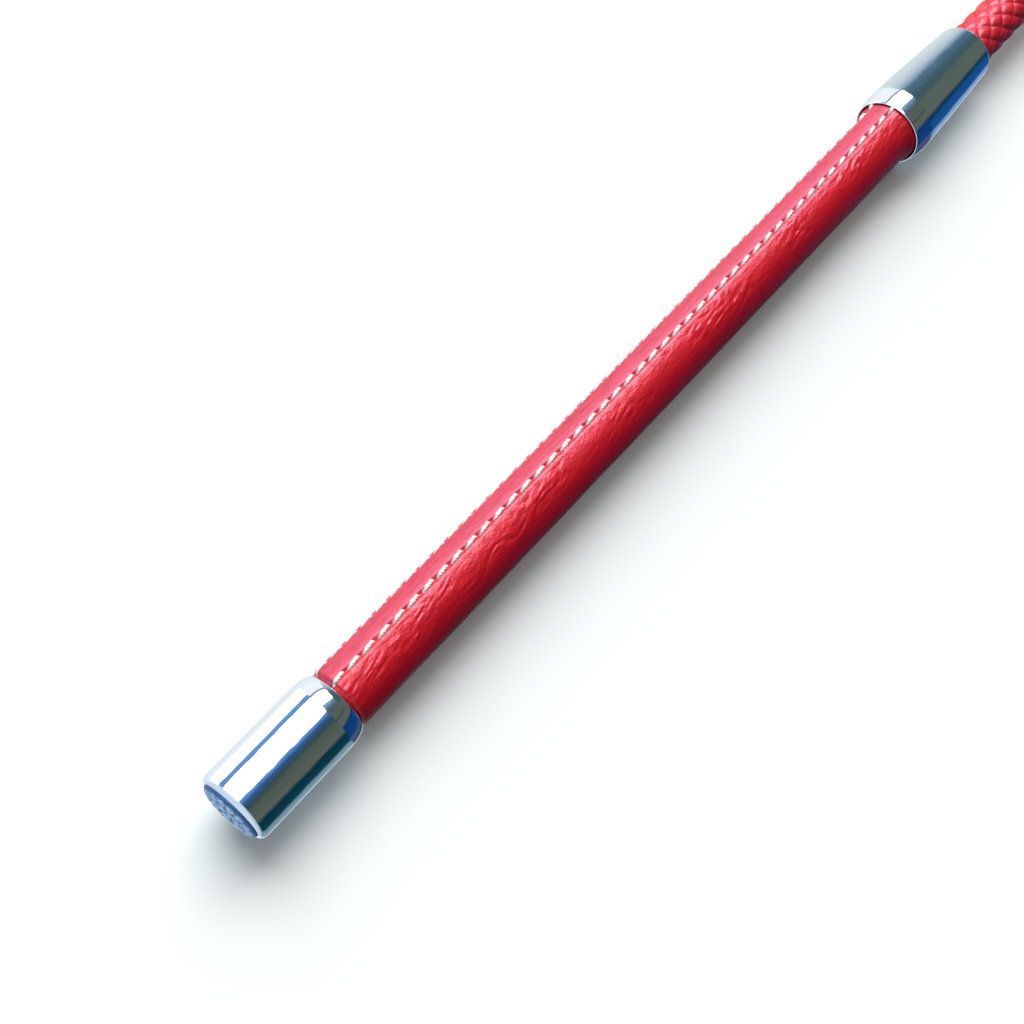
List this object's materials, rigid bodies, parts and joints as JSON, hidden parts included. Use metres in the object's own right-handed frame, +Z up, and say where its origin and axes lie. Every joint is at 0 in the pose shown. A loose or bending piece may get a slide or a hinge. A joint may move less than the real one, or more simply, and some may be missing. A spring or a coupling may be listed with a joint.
{
  "type": "riding crop",
  "caption": "Leather riding crop with a chrome butt cap, sewn grip, conical ferrule, plaited shaft and a hinging two-leaf keeper.",
  "frame": {"origin": "under the middle of the crop's length and width, on the surface that it lies on", "axes": "+X along the crop's straight axis from the butt to the tip, +Z up, as it lies at rest"},
  "size_m": [0.65, 0.03, 0.0179],
  "materials": {
    "chrome_cap": "mirror",
    "chrome_ferrule": "mirror",
    "button_metal": "embossed, satin in the recesses",
    "screw_steel": "plain",
    "plug_wood": "turned, unvarnished",
    "binding_thread": "waxed",
    "rod_fibreglass": "smooth",
    "grip_foam": "soft foam",
    "grip_leather": "satin gloss, fine grain, creased",
    "white_thread": "waxed, twisted",
    "packing": "matte",
    "braid_leather": "glossy, plaited",
    "whipping_thread": "waxed, close-wound",
    "keeper_leather": "satin, fine grain"
  },
  "bodies": {
    "crop": {"butt_cap": "chrome_cap", "end_button": "button_metal", "cap_screw": "screw_steel", "butt_plug": "plug_wood", "butt_binding": "binding_thread", "core_rod": "rod_fibreglass", "grip_padding": "grip_foam", "grip_leather": "grip_leather", "stitch_row_inner": "white_thread", "stitch_row_outer": "white_thread", "ferrule": "chrome_ferrule", "ferrule_bush": "packing", "shaft_underlay": "packing", "braid_cover": "braid_leather", "tip_binding": "whipping_thread", "rod_tip_cap": "packing", "keeper_neck": "keeper_leather"},
    "keeper": {"keeper_lower_leaf": "keeper_leather"},
    "keeper_top": {"keeper_upper_leaf": "keeper_leather", "keeper_stitching": "white_thread"}
  },
  "joints": [
    {"name": "keeper_bend", "type": "hinge", "parent": "crop", "child": "keeper", "pos_m": [0.2598, 0, 0.00837], "axis": [0, -1, 0], "range_deg": [-45, 50], "stiffness_Nm_per_rad": 0.15},
    {"name": "keeper_open", "type": "hinge", "parent": "keeper", "child": "keeper_top", "pos_m": [0.268, 0, 0.00814], "axis": [0, -1, 0], "range_deg": [0, 35], "stiffness_Nm_per_rad": 0.03}
  ]
}
